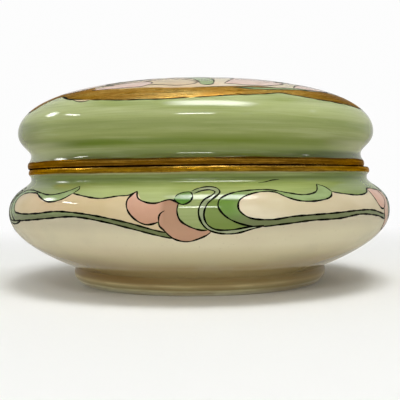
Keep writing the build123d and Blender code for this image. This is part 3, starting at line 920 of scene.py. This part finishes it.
def cream_panel(look):
    """Warm at the left and cool at the right, where the bowl's panels are a little darker."""
    patches = look.cloud((40, 40, 90), 6)
    warm = look.tint(colour(218, 198, 158), (206, 184, 138), patches)
    cool = look.tint(colour(228, 216, 186), (212, 198, 162), patches)
    base = look.blend_in(look.across(-20, 20), warm, cool)
    base = look.tint(base, (186, 166, 132), look.across(24, 44), look.up(45, 44), 0.35)
    return look.tint(base, (216, 182, 152), look.cloud((30, 30, 30), 7, 0.45, 0.7), 0.5)


def leaf_green(look):
    base = look.tint(colour(138, 158, 98), (156, 176, 118), look.streaks(6, 500, 8))
    base = look.tint(base, (113, 122, 79), look.up(28.5, 26.5))
    curl = look.between(look.panel_turn(), 0.13, 0.03)
    return look.tint(base, (106, 140, 58), curl, look.up(22.5, 29), look.up(40, 39))


def petal_pink(look):
    # Painted light: paler towards the top, where the petals face up.
    base = look.by_height((20, (204, 158, 128)), (25, (204, 156, 126)), (29, (208, 162, 134)),
                          (32, (216, 172, 148)), (34, (224, 182, 164)), (60, (228, 198, 182)))
    shade = look.by_height((22, (190, 150, 122)), (26, (180, 139, 110)), (31, (166, 126, 98)))
    far_petal = look.between(look.panel_turn(), 0.8, 0.825)
    base = look.blend_in(look.times(far_petal, look.across(50, 30), look.up(45, 44), 0.9), base, shade)
    return look.tint(base, (196, 146, 120), look.cloud((160, 160, 120), 9, 0.4, 0.7), 0.35)


def foot_glaze(look):
    # Painted light and shade by height: darker and browner where the belly shades the foot, with paler
    # bands as painted highlights on its rounded step and bulge.
    base = look.by_height(
        (0.2, (192, 188, 164)), (0.9, (204, 198, 168)), (1.6, (226, 222, 180)), (2.2, (172, 158, 110)),
        (2.8, (190, 175, 130)), (3.4, (220, 204, 152)), (4, (178, 158, 106)), (4.7, (166, 145, 94)),
        (5.9, (180, 162, 114)))
    base = look.tint(base, (146, 108, 48), look.across(-4, -26), look.up(3.6, 4.4), 0.5)
    # Painted shade: darker towards the right.
    base = look.tint(base, (118, 102, 66), look.across(12, 40), 0.55)
    return look.tint(base, (160, 128, 80), look.streaks(4, 900, 15), 0.4)


def gold(name, base_of, fresh, worn, smoothest):
    """Gilding brushed on by hand: thin and brown where it is rubbed."""
    look = Look(name, 0.34, 1.0)
    look.bsdf.inputs["Specular Tint"].default_value = colour(225, 190, 140)
    hairs = look.streaks(6, 2600, 20, 0.38, 0.62, 8.0)
    base = look.tint(base_of(look), fresh, look.streaks(4, 1500, 23, 0.55, 0.68, 5.0), 0.6)
    base = look.tint(base, worn, hairs, 0.75)
    base = look.tint(base, worn, look.cloud((700, 700, 1400), 22, 0.38, 0.7, 5.0), 0.4)
    rough = look.node("ShaderNodeMapRange", hairs, 0.0, 1.0, smoothest, smoothest + 0.2).outputs[0]
    look.plug(look.bsdf.inputs["Roughness"], rough)
    look.relief(hairs, BRUSH_RELIEF)
    return look.finish(base)


def rim_tones(look):
    """Bright along the seam, where the gold is partly rubbed and partly lit by painted highlights, with
    painted highlight lines on the lid's bead, and dull at the gilding's edges, darkest at the upper edge
    as painted shade.
    """
    return look.by_height(
        (39.5, (206, 172, 86)), (39.9, (208, 166, 50)), (40.2, (184, 140, 16)), (40.8, (182, 134, 22)),
        (41.1, (212, 168, 76)), (41.25, (230, 188, 108)), (41.6, (180, 130, 40)),
        (41.95, (194, 142, 48)), (42.25, (142, 101, 18)), (42.55, (136, 95, 12)),
        (42.85, (148, 105, 20)), (43.1, (178, 135, 54)), (43.4, (104, 74, 14)), (43.7, (76, 54, 6)),
        (44.1, (64, 48, 4)))


def border_tones(look):
    """Bright at the front and the back, and dull at both sides, a painted shade."""
    base = look.tint(colour(230, 182, 88), (255, 224, 138), look.streaks(3, 700, 21, 0.35, 0.65))
    return look.tint(base, (80, 68, 42), look.aside(30, 44), 0.8)


# ------------ making the box
def build_box():
    panel, leaf = glaze("cream panel", cream_panel), glaze("leaf green", leaf_green)
    pink = glaze("petal pink", petal_pink)
    white = glaze("white glaze", mottled((30, 30, 30), 14, (236, 232, 222), (228, 222, 208)))
    ribbon = glaze("ribbon", mottled((200, 200, 200), 10, (140, 152, 108), (166, 172, 138)))
    bud = glaze("bud", mottled((300, 300, 300), 12, (78, 124, 36), (98, 140, 56)))
    bud_tip = glaze("bud tip", mottled((300, 300, 300), 13, (98, 132, 58), (122, 152, 84)))
    rim_gold = gold("rim gold", rim_tones, (222, 172, 70), (104, 70, 14), 0.22)
    border_gold = gold("border gold", border_tones, (255, 228, 146), (180, 130, 56), 0.25)
    # The dark line where the rims meet: grime, and painted shade standing in for the shadow in the gap.
    seam_grime_and_shade = glaze("seam grime and shade", mottled((200, 200, 400), 17, (14, 3, 1), (40, 18, 6)), 0.9, 0.0)
    pen = glaze("pen line", mottled((120, 120, 120), 16, (5, 7, 3), (20, 19, 10)), 0.7, 0.04)
    looks = {
        "bowl_seat": white, "bowl_seam": seam_grime_and_shade, "bowl_rim_gold": rim_gold,
        "bowl_green_ground": glaze("bowl green", bowl_green),
        "bowl_cream_ground": glaze("cream glaze", cream_body), "bowl_cream_panels": panel,
        "bowl_leaves": leaf, "bowl_petals": pink, "bowl_ribbons": ribbon, "bowl_bud_tips": bud_tip,
        "bowl_buds": bud,
        "lid_rest": white, "lid_seam": seam_grime_and_shade, "lid_rim_gold": rim_gold,
        "lid_green_ground": glaze("lid green", lid_green), "lid_border_gold": border_gold,
        "lid_cream_ground": panel, "lid_leaves": leaf, "lid_petals": pink, "lid_ribbons": ribbon,
        "lid_buds": bud,
    }
    paint_bowl().make("base", looks, "bowl_pen_lines", pen)
    paint_lid().make("lid", looks, "lid_pen_lines", pen)
    bowl_body(white, glaze("foot glaze", foot_glaze, 0.35, 0.2))
    lid_body(white)


def under_paint(lathe):
    """The profile under the paint, without the points that would fold over at a tight corner."""
    path = lathe.p - CORE_GAP * lathe.n
    gaps = np.linalg.norm(path[:, None] - lathe.p[None], axis=2).min(1)
    return path[gaps > 0.98 * CORE_GAP]


def bowl_body(white, foot_look):
    """The bowl's own porcelain: lining, collar, foot ring and underside."""
    inner_r = BELLY_R - WALL
    bore = COLLAR_BORE_R + COLLAR_ROUND_IN, COLLAR_TOP_Z - COLLAR_ROUND_IN
    edge = COLLAR_R - COLLAR_ROUND_OUT, COLLAR_TOP_Z - COLLAR_ROUND_OUT
    lining = chain((0, FLOOR[1]),
                   beziers((10, 30, 30), FLOOR, (38, FLOOR[1]), (41.5, 7.75), FLOOR_EDGE, (57.3, 14.3),
                           (inner_r, 18.5), (inner_r, BELLY_Z), (inner_r, 35.2), (COLLAR_BORE_R, 34.6),
                           (COLLAR_BORE_R, COLLAR_BORE_Z)),
                   arc(bore, COLLAR_ROUND_IN, 180, 90, 7), arc(edge, COLLAR_ROUND_OUT, 90, 0, 7))
    hidden = under_paint(BASE)[::-1]
    foot = chain(FOOT_TOP, arc_through(FOOT_TOP, FOOT_BULGE, (45.55, FOOT_STEP[1]), 12), FOOT_STEP)
    rest = chain(arc((FOOT_REST_R, FOOT_EDGE), FOOT_EDGE, 0, -90, 7), (FOOT_BORE_R, 0))
    recess = FOOT_BORE_R - RECESS_ROUND, RECESS_Z - RECESS_ROUND
    under = chain(arc(recess, RECESS_ROUND, 0, 90, 7), (0, RECESS_Z))
    loop = chain(lining, (COLLAR_R, SEAT_Z - CORE_GAP), hidden, foot, rest, under)
    first = len(lining) + len(hidden)
    bands = [(first, 0), (first + len(foot) + len(rest) - 1, 1), (len(loop), 0)]
    mesh = revolved("bowl_body", loop, 0.0, bands)
    add_piece("bowl_body", mesh, "base", [white, foot_look], ["base"])


def lid_body(white):
    """The lid's own porcelain, which shows inside."""
    r, z = LID_MAX_R - WALL, LID_TOP_Z - WALL
    hidden = under_paint(LID)
    lining = chain((LID_BORE_R, SEAT_Z + CORE_GAP),
                   beziers((24, 60), (LID_BORE_R, LID_BORE_TOP_Z), (LID_BORE_R, 50.3), (r, 51.1),
                           (r, LID_MAX_Z), (r, 62.38), (46.84, z), (0, z)))
    hidden[0, 0] = lining[-1, 0] = 0
    loop = chain(hidden, lining)
    mesh = revolved("lid_body", loop, LID_X, [(len(loop), 0)])
    add_piece("lid_body", mesh, "lid", [white], ["lid"])


# ------------ studio
def place_camera():
    """Close in front of the box, at half its height, looking slightly down."""
    data = bpy.data.cameras.new("camera")
    data.lens = LENS
    data.clip_start = 0.01
    camera = new_object("camera", data)
    pitch, roll = math.radians(90 + CAMERA_PITCH), math.radians(CAMERA_ROLL)
    camera.matrix_world = (Matrix.Translation(CAMERA_PLACE)
                           @ Matrix.Rotation(pitch, 4, "X") @ Matrix.Rotation(roll, 4, "Z"))
    bpy.context.scene.camera = camera


def soft_panel(name, place, aim, width, height, strength, softness):
    """A glowing panel that fades out towards its edges. The camera can't see it."""
    mesh = bpy.data.meshes.new(name)
    half = width / 2, height / 2
    corners = [(-1, -1), (1, -1), (1, 1), (-1, 1)]
    mesh.from_pydata([(x * half[0], y * half[1], 0) for x, y in corners], [], [(0, 1, 2, 3)])
    look = Look(name, 1.0)
    share = [look.between(look.math("DIVIDE", look.math("ABSOLUTE", v), h), 1.0, 1.0 - softness)
             for v, h in zip((look.x, look.y), half)]
    power = look.times(*share, strength)
    glow = look.node("ShaderNodeEmission", (1.0, 1.0, 1.0, 1.0), power)
    look.plug(look.surface, glow.outputs[0])
    mesh.materials.append(look.material)
    panel = new_object(name, mesh)
    panel.location = place
    panel.rotation_mode = "QUATERNION"
    panel.rotation_quaternion = (Vector(place) - Vector(aim)).to_track_quat("Z", "Y")
    panel.visible_camera = panel.visible_shadow = False


def around(azimuth, elevation):
    """A light's place round the box. Azimuth is in degrees from the front, towards +X."""
    a, e = math.radians(azimuth), math.radians(elevation)
    level = LIGHT_DISTANCE * math.cos(e)
    return level * math.sin(a), -level * math.cos(a), AIM_Z + LIGHT_DISTANCE * math.sin(e)


def light_room():
    """Panels over and round the box, and a room that is palest at eye level and warmer below."""
    middle = (0, 0, AIM_Z)
    soft_panel("ceiling", (0, -0.1, 1.2), middle, 1.5, 1.6, 0.7, 0.6)
    soft_panel("overhead", (0.115, -0.23, 1.0), (0.115, 0, AIM_Z), 0.80, 0.48, 12.0, 0.7)
    # name, azimuth and elevation in degrees, width, height, strength, softness
    for name, azimuth, elevation, *shape in (("front_strip", 0, 35, 0.50, 0.08, 23.0, 0.4),
                                             ("front_right_strip", 33, 33, 0.30, 0.04, 7.0, 0.8),
                                             ("left_strip", -91, 34, 0.34, 0.06, 20.0, 0.6),
                                             ("left_window", -115, 31, 0.32, 0.26, 12.0, 1.0),
                                             ("right_window", 90, 38, 0.22, 0.16, 5.0, 1.0)):
        soft_panel(name, around(azimuth, elevation), middle, *shape)
    world = bpy.data.worlds.new("room")
    bpy.context.scene.world = world
    world.use_nodes = True
    tree = world.node_tree
    place, split, height, ramp = (tree.nodes.new("ShaderNode" + kind) for kind in
                                  ("TexCoord", "SeparateXYZ", "MapRange", "ValToRGB"))
    height.inputs["From Min"].default_value = -1.0
    tree.links.new(place.outputs["Generated"], split.inputs[0])
    tree.links.new(split.outputs[2], height.inputs[0])
    tree.links.new(height.outputs[0], ramp.inputs[0])
    tree.links.new(ramp.outputs[0], tree.nodes["Background"].inputs[0])
    set_stops(ramp, [(0.0, (0.34, 0.30, 0.22, 1)), (0.42, (0.49, 0.47, 0.40, 1)),
                     (0.52, (0.61, 0.61, 0.58, 1)), (1.0, (0.40, 0.41, 0.42, 1))])


def build_stage():
    """A pale table round the box, and beyond it a pale sweep up to a wall, for the camera only."""
    look = Look("pale paper", 0.9)
    shine = look.node("ShaderNodeEmission", (0.98, 0.98, 0.98, 1.0), 1.0)
    far = look.node("ShaderNodeVectorMath", look.place, operation="LENGTH").outputs["Value"]
    share = look.between(far, *PAPER_FADE)
    join = look.node("ShaderNodeMixShader", share, look.bsdf.outputs[0], shine.outputs[0])
    look.plug(look.surface, join.outputs[0])
    look.finish(colour(240, 240, 238))
    wall = arc((900, 500), 500, -90, 0, 12)
    profiles = {"table": chain((0, 0), (150, 0), (TABLE_R, 0)),
                "sweep": chain((TABLE_R, 0), (900, 0), wall, (1400, 2500))}
    for name, profile in profiles.items():
        surface = new_object(name, revolved(name, profile, 0.0, [(len(profile), 0)]))
        surface.data.materials.append(look.material)
        surface.visible_glossy = False
        surface.visible_diffuse = surface.visible_transmission = surface.visible_shadow = name == "table"


place_camera()
build_box()
light_room()
build_stage()
bpy.context.scene.view_settings.view_transform = "Standard"
